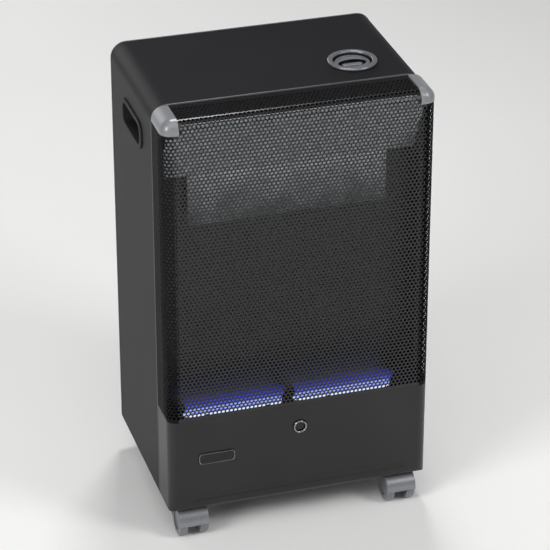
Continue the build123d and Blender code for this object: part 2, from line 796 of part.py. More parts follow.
with BuildPart() as valve_bracket:
    with BuildSketch(upright(dial_y - bracket_length / 2)):
        with BuildLine():
            plate_line = plate_z + bracket_sheet / 2
            foot_line = top_z - sheet - seat_gap - bracket_sheet / 2
            left = dial_offset - bracket_half_span
            right = dial_offset + bracket_half_span
            Polyline((left - bracket_foot, foot_line), (left, foot_line), (left, plate_line),
                     (right, plate_line), (right, foot_line), (right + bracket_foot, foot_line))
        trace(line_width=bracket_sheet)
    extrude(amount=-bracket_length)
    with Locations((dial_offset, dial_y, plate_z)):
        Cylinder(spindle_radius + 2 * seat_gap, 3 * bracket_sheet, mode=Mode.SUBTRACT)
        with GridLocations(valve_screw_pitch_x, valve_screw_pitch_y, 2, 2):
            Cylinder(screw_hole_radius, 3 * bracket_sheet, mode=Mode.SUBTRACT)
save(valve_bracket, "valve_bracket")

with BuildPart() as valve_body:
    with Locations((dial_offset, dial_y, (valve_top + valve_bottom) / 2)):
        Box(valve_width, valve_length, valve_body_height)
    fillet(valve_body.edges().filter_by(Axis.Z), valve_edge)
    with Locations((dial_offset, dial_y, valve_top)):
        Cylinder(spindle_radius + running_gap, spindle_depth + knob_push + seat_gap,
                 mode=Mode.SUBTRACT, align=(Align.CENTER, Align.CENTER, Align.MAX))
        Cylinder(plunger_radius + running_gap,
                 valve_top - plunger_bottom + knob_push + seat_gap,
                 mode=Mode.SUBTRACT, align=(Align.CENTER, Align.CENTER, Align.MAX))
        with GridLocations(valve_screw_pitch_x, valve_screw_pitch_y, 2, 2):
            Cylinder(screw_radius + running_gap, screw_length + seat_gap,
                     mode=Mode.SUBTRACT, align=(Align.CENTER, Align.CENTER, Align.MAX))
    with Locations((supply_x, pipe_y, valve_bottom)):
        Cylinder(supply_radius + running_gap, port_socket_depth, mode=Mode.SUBTRACT,
                 align=(Align.CENTER, Align.CENTER, Align.MIN))
    with Locations((pilot_pipe_x, pipe_y, valve_bottom)):
        Cylinder(pilot_pipe_radius + running_gap, port_socket_depth, mode=Mode.SUBTRACT,
                 align=(Align.CENTER, Align.CENTER, Align.MIN))
    with Locations(Location((dial_offset, valve_back, valve_bottom + nozzle_height),
                            (-90, 0, 0))):
        Cylinder(nozzle_radius + running_gap, port_socket_depth, mode=Mode.SUBTRACT,
                 align=(Align.CENTER, Align.CENTER, Align.MAX))
save(valve_body, "valve_body")

with BuildPart() as valve_plunger:
    with Locations((dial_offset, dial_y, plunger_bottom)):
        Cylinder(plunger_radius, plunger_length, align=(Align.CENTER, Align.CENTER, Align.MIN))
    chamfer(valve_plunger.edges().group_by(Axis.Z)[0], plunger_chamfer)
save(valve_plunger, "valve_plunger")

with BuildPart() as hose_nozzle:
    with Locations(Location((dial_offset, valve_back + seat_gap, valve_bottom + nozzle_height),
                            (-90, 0, 0))):
        with BuildSketch(Plane((dial_offset, valve_back + seat_gap, valve_bottom + nozzle_height),
                               x_dir=(1, 0, 0), z_dir=(0, 1, 0))):
            RegularPolygon(nozzle_collar_radius, 6)
        extrude(amount=nozzle_collar_length)
        Cylinder(nozzle_radius, nozzle_collar_length + nozzle_length,
                 align=(Align.CENTER, Align.CENTER, Align.MIN))
        Cylinder(nozzle_radius, port_socket_depth - seat_gap,
                 align=(Align.CENTER, Align.CENTER, Align.MAX))
        Cylinder(nozzle_bore, 4 * nozzle_length, mode=Mode.SUBTRACT)
save(hose_nozzle, "hose_nozzle")

with BuildPart() as piezo_igniter:
    igniter_x = dial_offset + valve_width / 2 + seat_gap
    block((igniter_x, igniter_x + igniter_width),
          (dial_y - igniter_length / 2, dial_y + igniter_length / 2),
          (valve_top - igniter_height, valve_top))
    fillet(piezo_igniter.edges().filter_by(Axis.Z), igniter_edge)
save(piezo_igniter, "piezo_igniter")


# ---- control dial: dish let into the top, trim ring, knob and its spindle ----
dish_floor = top_z - dish_recess
flange_top = top_z + seat_gap + dish_flange
bowl_inner = dish_bowl_radius - dish_wall

with BuildPart() as control_dish:
    with BuildSketch(upright(dial_y)):
        with BuildLine():
            Polyline((dial_offset + dish_hole_radius, dish_floor),
                     (dial_offset + bowl_inner, dish_floor),
                     (dial_offset + bowl_inner, flange_top),
                     (dial_offset + dish_radius, flange_top),
                     (dial_offset + dish_radius, top_z + seat_gap),
                     (dial_offset + dish_bowl_radius, top_z + seat_gap),
                     (dial_offset + dish_bowl_radius, dish_floor - dish_wall),
                     (dial_offset + dish_hole_radius, dish_floor - dish_wall), close=True)
        make_face()
    revolve(axis=Axis((dial_offset, dial_y, 0), (0, 0, 1)))
save(control_dish, "control_dish")

with BuildPart() as dial_ring:
    ring_seat = flange_top + seat_gap
    with Locations((dial_offset, dial_y, ring_seat)):
        Cylinder(dish_radius, ring_height, align=(Align.CENTER, Align.CENTER, Align.MIN))
        Cylinder(dish_radius - ring_width, 3 * ring_height, mode=Mode.SUBTRACT)
    fillet(dial_ring.edges().group_by(Axis.Z)[-1], ring_edge)
save(dial_ring, "dial_ring")

knob_bottom = dish_floor + knob_push + knob_clearance
knob_top = knob_bottom + knob_height
well_floor = knob_top - knob_face_drop - knob_well_depth

with BuildPart() as knob_bar:
    with BuildSketch(Plane.XY.offset(well_floor)):
        with Locations((dial_offset, dial_y)):
            SlotOverall(knob_bar_length, knob_bar_width)
    extrude(amount=knob_well_depth - knob_bar_drop)
    fillet(knob_bar.edges().group_by(Axis.Z)[-1], knob_bar_edge)

with BuildPart() as control_knob:
    with Locations((dial_offset, dial_y, knob_bottom)):
        Cylinder(knob_radius, knob_height, align=(Align.CENTER, Align.CENTER, Align.MIN))
        Cylinder(knob_boss_radius, knob_boss_length, align=(Align.CENTER, Align.CENTER, Align.MAX))
    fillet(control_knob.edges().group_by(Axis.Z)[-1], knob_edge)
    with Locations((dial_offset, dial_y, knob_top)):
        Cylinder(knob_face_radius, knob_face_drop, mode=Mode.SUBTRACT,
                 align=(Align.CENTER, Align.CENTER, Align.MAX))
    with BuildSketch(Plane.XY.offset(knob_top)):
        with Locations((dial_offset, dial_y)):
            Ellipse(knob_well_length / 2, knob_well_width / 2)
    extrude(amount=well_floor - knob_top, mode=Mode.SUBTRACT)
    add(knob_bar.part)
    with Locations((dial_offset, dial_y, top_z - spindle_reach)):
        Cylinder(spindle_radius + running_gap, 2 * knob_boss_length + knob_height,
                 mode=Mode.SUBTRACT, align=(Align.CENTER, Align.CENTER, Align.MAX))
save(control_knob, "control_knob")

with BuildPart() as valve_spindle:
    with Locations((dial_offset, dial_y, spindle_bottom)):
        Cylinder(spindle_radius, top_z - spindle_reach - seat_gap - spindle_bottom,
                 align=(Align.CENTER, Align.CENTER, Align.MIN))
save(valve_spindle, "valve_spindle")


# ---- viewing port and plain badge plate on the lower panel ----
port_z = base_z + port_height
with BuildPart() as port_bezel:
    with Locations(Location((0, front_y - seat_gap, port_z), (90, 0, 0))):
        Cylinder(bezel_radius, bezel_proud - seat_gap,
                 align=(Align.CENTER, Align.CENTER, Align.MIN))
        Cylinder(bezel_sleeve_radius, bezel_sleeve_length,
                 align=(Align.CENTER, Align.CENTER, Align.MAX))
        Cylinder(bezel_bore, 4 * bezel_sleeve_length, mode=Mode.SUBTRACT)
    fillet(port_bezel.edges().group_by(Axis.Y)[0].sort_by(SortBy.LENGTH)[-1], bezel_edge)
save(port_bezel, "port_bezel")

with BuildPart() as port_lens:
    with Locations(Location((0, front_y + seat_gap, port_z), (90, 0, 0))):
        Cylinder(bezel_bore - running_gap, lens_thickness)
save(port_lens, "port_lens")

with BuildPart() as badge_plate:
    with BuildSketch(upright(front_y - seat_gap)):
        with Locations((badge_inset - half_width, base_z + badge_height)):
            RectangleRounded(badge_length, badge_width, badge_corner)
    extrude(amount=badge_thickness)
    fillet(badge_plate.edges().group_by(Axis.Y)[0], badge_edge)
save(badge_plate, "badge_plate")


# ---- hand-hold trims in the two sides ----
for side, tag in sides:
    with BuildPart() as grip_trim:
        with BuildSketch(Plane.YZ.offset(side * (half_width + seat_gap))):
            with Locations((grip_y, grip_z)):
                RectangleRounded(grip_length, grip_width, grip_width * grip_rounding)
        extrude(amount=side * grip_rim)
        rim = grip_trim.edges().group_by(Axis.X)[0 if side < 0 else -1]
        fillet(rim, grip_rim_edge)
        with BuildSketch(Plane.YZ.offset(side * (half_width + seat_gap))):
            with Locations((grip_y, grip_z)):
                RectangleRounded(grip_sleeve_length, grip_sleeve_width,
                                 grip_sleeve_width * grip_rounding)
        extrude(amount=-side * grip_sleeve_depth)
        with BuildSketch(Plane.YZ.offset(side * (half_width + seat_gap + grip_rim))):
            with Locations((grip_y, grip_z)):
                RectangleRounded(grip_slot_length, grip_slot_width,
                                 grip_slot_width * grip_rounding)
        extrude(amount=-side * (grip_rim + grip_sleeve_depth), mode=Mode.SUBTRACT)
    save(grip_trim, f"grip_trim_{tag}")


# ---- back: fixed upper panel and pull-off cover ----
with BuildPart() as rear_upper_panel:
    with BuildSketch(upright(case_back - 2 * sheet - seat_gap)):
        arch(inner_inset)
        with Locations((0, base_z)):
            Rectangle(cabinet_width, 2 * (upper_panel_bottom - base_z), mode=Mode.SUBTRACT)
        with Locations((0, (cover_top + top_z) / 2)):
            with GridLocations(vent_column_pitch, vent_pitch,
                               upper_vent_columns, upper_vent_rows):
                SlotOverall(vent_length, vent_width, mode=Mode.SUBTRACT)
        with Locations((dial_offset, valve_bottom + nozzle_height)):
            Circle(hose_hole_radius, mode=Mode.SUBTRACT)
    extrude(amount=-sheet)
    drill_fixings(4 * sheet)
save(rear_upper_panel, "rear_upper_panel")


def bulge_block(inset):
    """Swelling of the rear cover between its plate and its back face, moved in by inset."""
    width = cabinet_width - 2 * (cover_side_gap + cover_margin + inset)
    height = cover_top - cover_bottom - 2 * (cover_margin + inset)
    with BuildPart() as body:
        with BuildSketch(upright(cover_y)):
            with Locations((0, (cover_bottom + cover_top) / 2)):
                RectangleRounded(width, height, cover_corner - inset)
        extrude(amount=inset - cover_bulge, taper=cover_draft)
    return body.part


cover_half = half_width - cover_side_gap
with BuildPart() as rear_cover:
    block((-cover_half, cover_half), (cover_y, cover_y + cover_sheet), (cover_bottom, cover_top))
    add(bulge_block(0))
    add(bulge_block(cover_sheet), mode=Mode.SUBTRACT)
    with BuildSketch(upright(cover_y + cover_bulge)):
        for field_z in (cover_bottom + cover_vent_inset, cover_top - cover_vent_inset):
            with Locations((0, field_z)):
                with GridLocations(vent_column_pitch, vent_pitch,
                                   cover_vent_columns, cover_vent_rows):
                    SlotOverall(vent_length, vent_width)
    extrude(amount=cover_sheet, mode=Mode.SUBTRACT)
    for tongue_x in (-tongue_offset, tongue_offset):
        tongue_span = (tongue_x - tongue_width / 2, tongue_x + tongue_width / 2)
        upper_z = upper_panel_bottom - seat_gap
        block(tongue_span, (case_back - tongue_reach, cover_y), (upper_z - cover_sheet, upper_z))
        lower_z = tray_rim + seat_gap
        block(tongue_span, (case_back - tongue_reach, cover_y), (lower_z, lower_z + cover_sheet))
save(rear_cover, "rear_cover")


# ---- castors: hood with stem, axle and two wheels, four times ----
web_half = wheel_gap / 2 - web_clearance
castor_half = wheel_gap / 2 + wheel_width
boss_top = tray_bottom - seat_gap - socket_flange - seat_gap
boss_bottom = boss_top - hood_boss_height


def castor_hood(x, y):
    """Hood with its web, hub, boss and stem; the axle lies towards the front."""
    axle_y = y - castor_trail
    across = Location((x, axle_y, wheel_radius), (0, 90, 0))
    with BuildPart() as hood:
        with Locations(across):
            Cylinder(hood_radius, 2 * castor_half)
            Cylinder(hood_radius - hood_wall, 2 * castor_half, mode=Mode.SUBTRACT)
        block((x - 2 * castor_half, x + 2 * castor_half), (axle_y - hood_radius, y + hood_radius),
              (-hood_radius, hood_open_height), mode=Mode.SUBTRACT)
        block((x - 2 * castor_half, x + 2 * castor_half), (axle_y - hood_radius, axle_y),
              (-hood_radius, wheel_radius + hood_wall), mode=Mode.SUBTRACT)
        with Locations(across):
            Cylinder(hood_radius - hood_wall / 2, 2 * web_half)
        block((x - 2 * web_half, x + 2 * web_half), (axle_y - hood_radius, y + hood_radius),
              (-hood_radius, web_bottom), mode=Mode.SUBTRACT)
        block((x - 2 * web_half, x + 2 * web_half), (axle_y - hood_radius, axle_y - web_front),
              (-hood_radius, wheel_radius + hood_wall), mode=Mode.SUBTRACT)
        with Locations(across):
            Cylinder(axle_radius + running_gap / 2, 4 * castor_half, mode=Mode.SUBTRACT)
        with Locations((x, y, boss_bottom)):
            Cylinder(hood_boss_radius, hood_boss_height,
                     align=(Align.CENTER, Align.CENTER, Align.MIN))
            Cylinder(stem_radius, hood_boss_height + stem_reach,
                     align=(Align.CENTER, Align.CENTER, Align.MIN))
    return hood


for corner_name, (castor_x, castor_y) in castor_places.items():
    save(castor_hood(castor_x, castor_y), f"castor_hood_{corner_name}")
    wheel_y = castor_y - castor_trail
    with BuildPart() as castor_axle:
        with Locations(Location((castor_x, wheel_y, wheel_radius), (0, 90, 0))):
            Cylinder(axle_radius, 2 * (castor_half - wheel_dish_depth) - 2 * wheel_edge)
    save(castor_axle, f"castor_axle_{corner_name}")
    for side, tag in sides:
        middle_x = castor_x + side * (wheel_gap + wheel_width) / 2
        with BuildPart() as castor_wheel:
            with Locations(Location((middle_x, wheel_y, wheel_radius), (0, 90, 0))):
                Cylinder(wheel_radius, wheel_width)
            outer_ring = castor_wheel.edges().group_by(Axis.X)
            fillet(outer_ring[0] + outer_ring[-1], wheel_edge)
            outer_face = middle_x + side * wheel_width / 2
            with Locations(Location((outer_face, wheel_y, wheel_radius), (0, 90, 0))):
                Cylinder(wheel_dish_radius, 2 * wheel_dish_depth, mode=Mode.SUBTRACT)
            inner_face = middle_x - side * wheel_width / 2
            bore_end = outer_face - side * (wheel_dish_depth + wheel_edge / 2)
            with Locations(Location(((inner_face + bore_end) / 2, wheel_y, wheel_radius),
                                    (0, 90, 0))):
                Cylinder(axle_radius + running_gap, abs(bore_end - inner_face),
                         mode=Mode.SUBTRACT)
        save(castor_wheel, f"castor_wheel_{corner_name}_{tag}")

with BuildPart() as castor_sockets:
    for castor_x, castor_y in castor_places.values():
        with Locations((castor_x, castor_y, tray_bottom - seat_gap - socket_flange)):
            Cylinder(socket_flange_radius, socket_flange,
                     align=(Align.CENTER, Align.CENTER, Align.MIN))
            Cylinder(socket_radius, socket_height,
                     align=(Align.CENTER, Align.CENTER, Align.MIN))
            Cylinder(stem_radius + running_gap, 4 * socket_height, mode=Mode.SUBTRACT)
save(castor_sockets, "castor_sockets")


# ---- fixing screws of the guard joint, the rear panel and the valve ----
valve_screw_planes = [Plane((dial_offset + right * valve_screw_pitch_x / 2,
                             dial_y + back * valve_screw_pitch_y / 2,
                             plate_z + bracket_sheet), x_dir=(1, 0, 0), z_dir=(0, 0, 1))
                      for right in (-1, 1) for back in (-1, 1)]
with BuildPart() as fixing_screws:
    for plane in fixing_planes + valve_screw_planes:
        with Locations(plane.location):
            with Locations((0, 0, seat_gap)):
                Cylinder(screw_head_radius, screw_head_height,
                         align=(Align.CENTER, Align.CENTER, Align.MIN))
            with Locations((0, 0, seat_gap)):
                Cylinder(screw_radius, screw_length,
                         align=(Align.CENTER, Align.CENTER, Align.MAX))
save(fixing_screws, "fixing_screws")
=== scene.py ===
import json
import math

import bpy
import numpy as np
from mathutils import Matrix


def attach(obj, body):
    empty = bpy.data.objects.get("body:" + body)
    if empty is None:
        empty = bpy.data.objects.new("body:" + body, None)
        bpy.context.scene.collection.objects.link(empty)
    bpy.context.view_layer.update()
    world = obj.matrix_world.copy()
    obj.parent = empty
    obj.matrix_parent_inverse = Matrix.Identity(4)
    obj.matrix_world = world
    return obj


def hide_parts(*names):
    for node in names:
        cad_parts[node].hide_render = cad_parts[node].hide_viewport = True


# Portable gas cabinet heater: the looks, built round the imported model.
# Metres. +X to the right as seen from the front, the front faces -Y, +Z up, floor at z = 0.

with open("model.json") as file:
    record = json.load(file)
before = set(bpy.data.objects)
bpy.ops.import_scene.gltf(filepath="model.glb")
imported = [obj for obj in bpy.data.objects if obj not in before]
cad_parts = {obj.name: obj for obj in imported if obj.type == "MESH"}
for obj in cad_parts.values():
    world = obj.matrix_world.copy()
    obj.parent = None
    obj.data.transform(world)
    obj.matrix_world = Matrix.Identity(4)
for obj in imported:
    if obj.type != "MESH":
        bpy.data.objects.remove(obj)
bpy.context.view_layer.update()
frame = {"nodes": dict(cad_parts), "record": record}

# ---- sizes repeated from the part's source ----
MM = 0.001
HALF_WIDTH = 215.0 * MM
FRONT_Y = -175.65 * MM
CASE_FRONT = -110.65 * MM
CASE_BACK = 141.35 * MM
BASE_Z = 58.0 * MM
TOP_Z = 740.0 * MM
SEAT_GAP = 0.3 * MM
GUARD_SHEET = 1.0 * MM
GUARD_BOTTOM = 223.3 * MM
GUARD_TOP = 739.0 * MM
GUARD_BEND = 18.0 * MM          # middle of the sheet, from the front over to the top
GUARD_BORDER = 13.0 * MM        # holes go this far back past the side bends
PAN_CORNER = 16.0 * MM          # outside of the sheet, from the front round to the sides
JOINT_FLANGE = 10.0 * MM
MESH_TOP = 718.2 * MM           # the sheet's corners above this are cut away for the caps
CAP_EDGE = 189.7 * MM           # half the sheet's width between the caps
CASE_CORNER = 25.0 * MM
BURNER_X = 91.0 * MM
BURNER_Y = -115.65 * MM
BURNER_TOP = 196.3 * MM
FLAME_PORT_PITCH = 8.0 * MM
FLAME_PORT_COUNT = 19
FLAME_ROW_PITCH = 12.0 * MM
BADGE_X = -137.5 * MM
BADGE_Z = 151.0 * MM
BADGE_LENGTH = 60.0 * MM
BADGE_WIDTH = 20.0 * MM
BADGE_CORNER = 6.5 * MM
BADGE_FACE_Y = FRONT_Y - 1.5 * MM
WINDOW_Z = 183.0 * MM
WINDOW_FACE_Y = FRONT_Y - 1.6 * MM
DIAL_X = 124.5 * MM
DIAL_Y = -40.65 * MM
KNOB_FACE_Z = 738.5 * MM


# ---- mesh helpers ----
CREASE_ANGLE = math.radians(38)     # sharper edges than this are shaded as edges


def make_piece(name, points, *faces):
    """Object from an array of points and arrays of faces, one array for each corner count."""
    corners = np.concatenate([group.ravel() for group in faces])
    counts = np.concatenate([np.full(len(group), group.shape[1]) for group in faces])
    mesh = bpy.data.meshes.new(name)
    mesh.vertices.add(len(points))
    mesh.vertices.foreach_set("co", np.asarray(points, np.float32).ravel())
    mesh.loops.add(len(corners))
    mesh.loops.foreach_set("vertex_index", corners.astype(np.int32))
    mesh.polygons.add(len(counts))
    mesh.polygons.foreach_set("loop_start", (np.cumsum(counts) - counts).astype(np.int32))
    mesh.update(calc_edges=True)
    mesh.validate()
    mesh.shade_smooth()
    mesh.set_sharp_from_angle(angle=CREASE_ANGLE)
    piece = bpy.data.objects.new(name, mesh)
    bpy.context.scene.collection.objects.link(piece)
    return piece


def outward(points, quads):
    """The quads, turned over if the closed surface they make has a negative volume."""
    a, b, c, d = (points[quads[:, i]] for i in range(4))
    volume = np.einsum("ij,ij->i", a, np.cross(b, c) + np.cross(c, d)).sum()
    return quads if volume > 0 else quads[:, ::-1]


def tube_quads(rings, around, closed):
    """Quads of a surface whose ring of points is repeated along a path, joined up if closed."""
    step = np.arange(rings if closed else rings - 1)[:, None]
    turn = np.arange(around)[None, :]
    following = (step + 1) % rings
    beside = (turn + 1) % around
    return np.stack([step * around + turn, step * around + beside,
                     following * around + beside, following * around + turn],
                    axis=-1).reshape(-1, 4)


def carry_profile(name, path, side, rise, profile, closed):
    """Profile carried along a path: point = path + profile x * side + profile y * rise.
    An open path's ends are drawn in to their middle, so that the surface is closed."""
    points = (path[:, None] + profile[None, :, :1] * side[:, None]
              + profile[None, :, 1:] * rise[:, None])
    if not closed:
        first, last = (np.broadcast_to(end.mean(axis=0), end.shape) for end in points[[0, -1]])
        points = np.concatenate([first[None], points, last[None]])
    rings, around = points.shape[:2]
    points = points.reshape(-1, 3)
    return make_piece(name, points, outward(points, tube_quads(rings, around, closed)))


def upright_bead(name, line, y, radius, count, closed):
    """Round bead, radius * (cos a, sin a), carried along a line in the upright plane at y. Each
    row of the line holds a point's x and z, and the x and z of the direction out of it."""
    a = np.linspace(0, 2 * np.pi, count, endpoint=False)
    zero = 0 * line[:, 0]
    path = np.stack([line[:, 0], zero + y, line[:, 1]], axis=1)
    side = np.stack([line[:, 2], zero, line[:, 3]], axis=1)
    rise = np.stack([zero, zero - 1.0, zero], axis=1)
    profile = radius * np.stack([np.cos(a), np.sin(a)], axis=1)
    return carry_profile(name, path, side, rise, profile, closed)


def quarter_turns(corners, radius, count):
    """Line round corner centres: each corner (x, z, start angle) is a quarter circle, whose rows
    hold x, z and the direction out of the curve."""
    a = np.linspace(0, np.pi / 2, count)
    arcs = [np.stack([x + radius * np.cos(start + a), z + radius * np.sin(start + a),
                      np.cos(start + a), np.sin(start + a)], axis=1)
            for x, z, start in corners]
    return np.concatenate(arcs)


# ---- perforated guard: staggered bricks on the unrolled sheet, each with a round hole ----
CORNER_MID = PAN_CORNER - GUARD_SHEET / 2
FLAT_HALF = HALF_WIDTH - PAN_CORNER
WING_RUN = CASE_FRONT - SEAT_GAP - FRONT_Y - PAN_CORNER
HALF_RUN = FLAT_HALF + CORNER_MID * math.pi / 2 + WING_RUN
SHEET_MID_Y = FRONT_Y + GUARD_SHEET / 2
UPRIGHT_RUN = GUARD_TOP - GUARD_SHEET / 2 - GUARD_BEND - GUARD_BOTTOM
TOP_RUN = CASE_FRONT - SEAT_GAP - SHEET_MID_Y - GUARD_BEND
HEIGHT_RUN = UPRIGHT_RUN + GUARD_BEND * math.pi / 2 + TOP_RUN
COLUMNS = 82                    # 6.6 mm apart
ROWS = 99                       # 5.8 mm apart
PITCH = 2 * HALF_RUN / COLUMNS
ROW_PITCH = HEIGHT_RUN / ROWS
HOLE_RADIUS = 2.4 * MM
HOLE_SIDES = 12
NARROW_ROW = int((MESH_TOP - GUARD_BOTTOM) / ROW_PITCH)    # the sheet is narrower from here up
NARROW_HALF = PITCH * 28.5      # half the width of the rows between the caps
LOWER_ROWS = 44                 # rows in the lower of the two front pieces
PLAIN_BELOW = 1                 # rows without holes along the foot
PLAIN_ABOVE = ROWS - 2          # and along the rear edge of the top
PLAIN_BEYOND = FLAT_HALF + CORNER_MID * math.pi / 2 + GUARD_BORDER
WELD = 0.01 * MM                # rim points nearer than this are one


def bend_sheet(s, t, lift):
    """Unrolled sheet to space. Along s: straight, a quarter circle at each side, straight back.
    Along t: straight up, a quarter circle, straight back. Lift is along the outward normal."""
    past_corner = np.abs(s) - FLAT_HALF
    past_fold = t - UPRIGHT_RUN
    a = np.clip(past_corner / CORNER_MID, 0, np.pi / 2)
    b = np.clip(past_fold / GUARD_BEND, 0, np.pi / 2)
    x = np.sign(s) * (np.minimum(np.abs(s), FLAT_HALF) + (CORNER_MID + lift) * np.sin(a))
    y = (SHEET_MID_Y + CORNER_MID * (1 - np.cos(a)) + GUARD_BEND * (1 - np.cos(b))
         + np.clip(past_corner - CORNER_MID * np.pi / 2, 0, None)
         + np.clip(past_fold - GUARD_BEND * np.pi / 2, 0, None)
         - lift * np.cos(a) * np.cos(b))
    z = GUARD_BOTTOM + np.minimum(t, UPRIGHT_RUN) + (GUARD_BEND + lift) * np.sin(b)
    return np.stack([x, y, z], axis=-1)


def brick_centres():
    """Centre and half width of every brick. Odd rows are shifted by half a pitch, and end in
    half bricks; above the caps the rows are narrower."""
    row, column = np.meshgrid(np.arange(ROWS), np.arange(COLUMNS + 1), indexing="ij")
    odd = row % 2 == 1
    limit = np.where(row >= NARROW_ROW, NARROW_HALF, HALF_RUN)
    left = -HALF_RUN + column * PITCH - odd * PITCH / 2
    right = np.minimum(left + PITCH, limit)
    left = np.maximum(left, -limit)
    real = right - left > PITCH / 4
    return ((left + right) / 2)[real], ((row + 0.5) * ROW_PITCH)[real], ((right - left) / 2)[real]


def guard_piece(name, s, t, half):
    """Solid sheet of the bricks centred on (s, t). A pierced brick has six rim points and a
    twelve-sided hole with triangles between; a plain one is two quads, a half one a single quad."""
    full = half > PITCH * 0.4
    pierced = full & (np.abs(s) < PLAIN_BEYOND) & (t > PLAIN_BELOW * ROW_PITCH) \
        & (t < PLAIN_ABOVE * ROW_PITCH)
    rim_s = np.array([1.0, 0.0, -1.0, -1.0, 0.0, 1.0])
    rim_t = np.array([1.0, 1.0, 1.0, -1.0, -1.0, -1.0]) * ROW_PITCH / 2
    rim = np.stack([s[:, None] + rim_s * half[:, None],
                    t[:, None] + rim_t + 0 * half[:, None]], axis=-1)
    turn = np.arange(HOLE_SIDES) * 2 * np.pi / HOLE_SIDES
    hole = np.stack([s[pierced, None] + HOLE_RADIUS * np.cos(turn),
                     t[pierced, None] + HOLE_RADIUS * np.sin(turn)], axis=-1)

    # neighbours' rim points are made one, and the cut for the caps is drawn to its real place
    keys, index = np.unique(np.round(rim.reshape(-1, 2) / WELD).astype(np.int64),
                            axis=0, return_inverse=True)
    welded = np.zeros((len(keys), 2))
    index = index.ravel()
    welded[index] = rim.reshape(-1, 2)
    narrow = (welded[:, 1] > (NARROW_ROW + 0.5) * ROW_PITCH) \
        & (np.abs(welded[:, 0]) > NARROW_HALF - PITCH / 4)
    welded[:, 0] = np.where(narrow, np.sign(welded[:, 0]) * CAP_EDGE, welded[:, 0])
    shoulder = (np.abs(welded[:, 1] - NARROW_ROW * ROW_PITCH) < ROW_PITCH / 4) \
        & (np.abs(welded[:, 0]) > NARROW_HALF + PITCH / 4)
    welded[:, 1] = np.where(shoulder, MESH_TOP - GUARD_BOTTOM, welded[:, 1])
    flat = np.concatenate([welded, hole.reshape(-1, 2)])
    index = index.reshape(-1, 6)
    ring = len(welded) + np.arange(hole.shape[0] * HOLE_SIDES).reshape(-1, HOLE_SIDES)
    count = len(flat)
    outer = bend_sheet(flat[:, 0], flat[:, 1], GUARD_SHEET / 2)
    inner = bend_sheet(flat[:, 0], flat[:, 1], -GUARD_SHEET / 2)

    # a pierced brick has two triangles at each rim point, and one on each edge of its rim
    corner = index[pierced]
    j = np.arange(6)
    last = (2 * j + 2) % HOLE_SIDES
    near = np.stack([ring[:, 2 * j], corner[:, j], ring[:, 2 * j + 1]], axis=-1)
    far = np.stack([ring[:, 2 * j + 1], corner[:, j], ring[:, last]], axis=-1)
    between = np.stack([ring[:, last], corner[:, j], corner[:, (j + 1) % 6]], axis=-1)
    triangles = np.concatenate([near, far, between], axis=1).reshape(-1, 3)

    blank = index[full & ~pierced]
    short = index[~full]
    plain = np.concatenate([blank[:, [3, 4, 1, 2]], blank[:, [4, 5, 0, 1]],
                            short[:, [3, 5, 0, 2]]])

    # walls through the sheet: in the holes, and on rim edges that only one brick has
    hole_walls = np.stack([ring, np.roll(ring, -1, axis=1), np.roll(ring, -1, axis=1) + count,
                           ring + count], axis=-1).reshape(-1, 4)
    whole = index[full]
    starts = np.concatenate([whole.ravel(), short[:, [5, 0, 2, 3]].ravel()])
    ends = np.concatenate([np.roll(whole, -1, axis=1).ravel(), short[:, [0, 2, 3, 5]].ravel()])
    pairs = np.sort(np.stack([starts, ends], axis=1), axis=1)
    _, which, uses = np.unique(pairs, axis=0, return_inverse=True, return_counts=True)
    border = uses[which.ravel()] == 1
    a, b = starts[border], ends[border]
    edge_walls = np.stack([a, a + count, b + count, b], axis=1)
    return make_piece(name, np.concatenate([outer, inner]),
                      np.concatenate([triangles, triangles[:, ::-1] + count]),
                      np.concatenate([plain, plain[:, ::-1] + count, hole_walls, edge_walls]))


centre_s, centre_t, brick_half = brick_centres()
front_part = np.abs(centre_s) < FLAT_HALF
narrow_part = centre_t > NARROW_ROW * ROW_PITCH
lower_part = centre_t < LOWER_ROWS * ROW_PITCH
guard_pieces = []
for piece_name, chosen in (
        ("guard_front_lower", front_part & lower_part),
        ("guard_front_upper", front_part & ~lower_part & ~narrow_part),
        ("guard_side_left", ~front_part & ~narrow_part & (centre_s < 0)),
        ("guard_side_right", ~front_part & ~narrow_part & (centre_s > 0)),
        ("guard_top_fold", narrow_part)):
    guard_pieces.append(guard_piece(piece_name, centre_s[chosen], centre_t[chosen],
                                    brick_half[chosen]))


def foot_flange():
    """Flange under the guard: a flat bar with a rounded free edge, carried from side to side."""
    a = np.linspace(-np.pi / 2, np.pi / 2, 7)
    half = GUARD_SHEET / 2
    free = np.stack([JOINT_FLANGE - half + half * np.cos(a), half * np.sin(a)], axis=1)
    root = np.array([[GUARD_SHEET, half], [GUARD_SHEET, -half]])
    x = np.linspace(-FLAT_HALF, FLAT_HALF, 3)
    path = np.stack([x, FRONT_Y + 0 * x, GUARD_BOTTOM + half + 0 * x], axis=1)
    side = np.tile([0.0, 1.0, 0.0], (3, 1))
    rise = np.tile([0.0, 0.0, 1.0], (3, 1))
    return carry_profile("guard_foot_flange", path, side, rise,
                         np.concatenate([free, root]), False)


guard_pieces.append(foot_flange())
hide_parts("guard_mesh")
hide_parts("guard_sides")
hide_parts("guard_folds")


# ---- rolled edges of the case, front and back ----
HEM_RADIUS = 1.9 * MM
HEM_INSET = 1.2 * MM            # of the bead's middle, in from the case's outside
HEM_FOOT = BASE_Z + 6.0 * MM


def case_hem(name, y):
    """Bead up one side of the case, over its two round corners and down again."""
    bend = CASE_CORNER - HEM_INSET
    edge = HALF_WIDTH - HEM_INSET
    z = TOP_Z - HEM_INSET - bend
    over = quarter_turns([(edge - bend, z, 0.0), (bend - edge, z, math.pi / 2)], bend, 8)
    line = np.concatenate([[[edge, HEM_FOOT, 1.0, 0.0]], over, [[-edge, HEM_FOOT, -1.0, 0.0]]])
    return upright_bead(name, line, y, HEM_RADIUS, 10, False)


